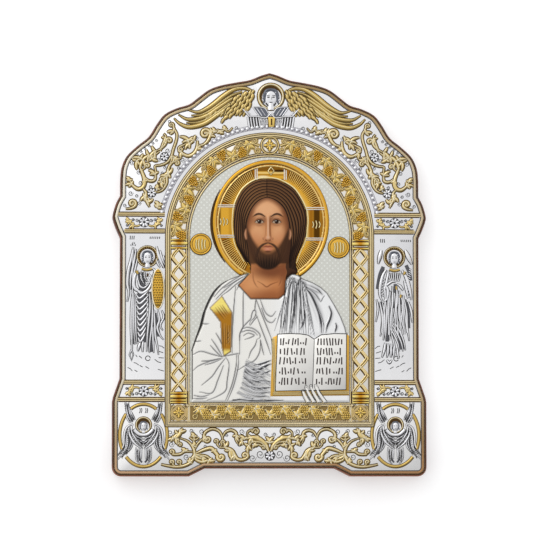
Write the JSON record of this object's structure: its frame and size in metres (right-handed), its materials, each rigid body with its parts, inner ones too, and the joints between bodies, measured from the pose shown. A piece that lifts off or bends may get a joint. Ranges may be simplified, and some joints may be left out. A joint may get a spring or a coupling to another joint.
{
  "type": "icon panel",
  "caption": "Arched wooden panel faced with a pressed silver surround, a gilt arch frame with columns, and a pressed half figure with a painted head and an open book.",
  "frame": {"origin": "under the middle of the panel's bounding box, on the surface that its back lies on", "axes": "+X across the panel to the viewer's right, +Y up the panel from its feet to its crown, +Z out of its face"},
  "size_m": [0.2518, 0.3236, 0.0213],
  "materials": {
    "wood": "dark brown lacquered wood, satin",
    "silver": "pressed silver, bright, with darkened recesses and gilt touches",
    "gilt": "pressed and gilt, bright, on a pale ground",
    "picture_silver": "pressed silver with a finely patterned field, gilt halo and book edges",
    "painted_inlay": "painted head under clear lacquer"
  },
  "bodies": {
    "root": {"backing_board": "wood", "silver_surround": "silver", "arch_frame": "gilt", "icon_plaque": "picture_silver", "painted_head": "painted_inlay"}
  },
  "joints": []
}
